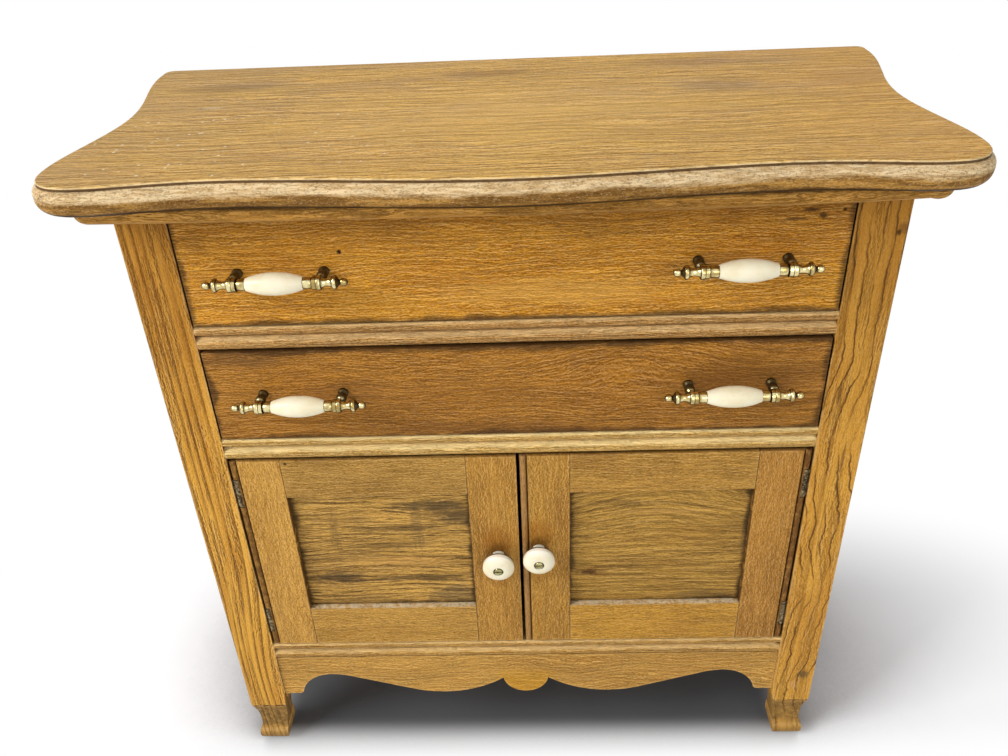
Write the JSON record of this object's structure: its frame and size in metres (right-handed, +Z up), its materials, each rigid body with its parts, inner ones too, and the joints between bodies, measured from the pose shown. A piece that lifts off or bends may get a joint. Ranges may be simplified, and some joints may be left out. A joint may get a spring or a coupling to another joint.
{
  "type": "dry sink cabinet",
  "caption": "Oak washstand cabinet with a serpentine top, two drawers with ceramic and brass pulls, and a pair of panelled doors over a scalloped apron.",
  "frame": {"origin": "on the floor, below the middle of the whole cabinet's outline in plan", "axes": "+X to the right of someone who faces the front, +Y from the front to the back, +Z up; the front looks along -Y"},
  "size_m": [0.776, 0.389, 0.749],
  "materials": {
    "oak_case": "satin, worn varnish, strong straight grain",
    "oak_top": "satin, worn varnish, long grain from side to side",
    "oak_dark": "satin, darker old varnish",
    "oak_upper_drawer": "satin, golden brown varnish",
    "oak_lower_drawer": "satin, darker brown varnish",
    "oak_doors": "satin varnish",
    "oak_panel": "satin, grey-brown varnish with dark streaks",
    "inner_wood": "bare, unvarnished pale wood",
    "aged_brass": "aged, dark in the recesses",
    "aged_steel": "dull, browned with age",
    "cream_ceramic": "glossy cream glaze"
  },
  "bodies": {
    "case": {"top_board": "oak_top", "top_moulding": "oak_dark", "front_leg_left": "oak_case", "front_leg_right": "oak_case", "back_leg_left": "oak_case", "back_leg_right": "oak_case", "drawer_rail": "oak_case", "cupboard_rail": "oak_case", "base_rail": "oak_case", "apron": "oak_case", "left_side_rails": "oak_case", "right_side_rails": "oak_case", "left_side_panel": "oak_panel", "right_side_panel": "oak_panel", "back_boards": "inner_wood", "back_rails": "inner_wood", "cupboard_floor": "inner_wood", "drawer_runners": "inner_wood", "door_stops": "inner_wood", "case_hinge_leaves": "aged_steel", "hinge_pins": "aged_steel", "case_hinge_screws": "aged_steel"},
    "upper_drawer": {"upper_drawer_front": "oak_upper_drawer", "upper_drawer_left_side": "inner_wood", "upper_drawer_right_side": "inner_wood", "upper_drawer_back": "inner_wood", "upper_drawer_bottom": "inner_wood", "upper_pull_posts": "aged_brass", "upper_pull_spindles": "aged_brass", "upper_pull_ferrules": "aged_brass", "upper_pull_barrels": "cream_ceramic", "upper_pull_screws": "aged_steel"},
    "lower_drawer": {"lower_drawer_front": "oak_lower_drawer", "lower_drawer_left_side": "inner_wood", "lower_drawer_right_side": "inner_wood", "lower_drawer_back": "inner_wood", "lower_drawer_bottom": "inner_wood", "lower_pull_posts": "aged_brass", "lower_pull_spindles": "aged_brass", "lower_pull_ferrules": "aged_brass", "lower_pull_barrels": "cream_ceramic", "lower_pull_screws": "aged_steel"},
    "left_door": {"left_door_hinge_stile": "oak_doors", "left_door_meeting_stile": "oak_doors", "left_door_top_rail": "oak_doors", "left_door_bottom_rail": "oak_doors", "left_door_panel": "oak_panel", "left_door_hinge_leaves": "aged_steel", "left_door_hinge_screws": "aged_steel", "left_door_knob": "cream_ceramic", "left_door_knob_screw": "aged_brass"},
    "right_door": {"right_door_hinge_stile": "oak_doors", "right_door_meeting_stile": "oak_doors", "right_door_top_rail": "oak_doors", "right_door_bottom_rail": "oak_doors", "right_door_panel": "oak_panel", "right_door_hinge_leaves": "aged_steel", "right_door_hinge_screws": "aged_steel", "right_door_knob": "cream_ceramic", "right_door_knob_screw": "aged_brass"}
  },
  "joints": [
    {"name": "upper_drawer_slide", "type": "slide", "parent": "case", "child": "upper_drawer", "axis": [0, -1, 0], "range_m": [0, 0.2]},
    {"name": "lower_drawer_slide", "type": "slide", "parent": "case", "child": "lower_drawer", "axis": [0, -1, 0], "range_m": [0, 0.2]},
    {"name": "left_door_hinge", "type": "hinge", "parent": "case", "child": "left_door", "pos_m": [-0.2851, -0.124, 0.3105], "axis": [0, 0, -1], "range_deg": [0, 100]},
    {"name": "right_door_hinge", "type": "hinge", "parent": "case", "child": "right_door", "pos_m": [0.2851, -0.124, 0.3105], "axis": [0, 0, 1], "range_deg": [0, 100]}
  ]
}
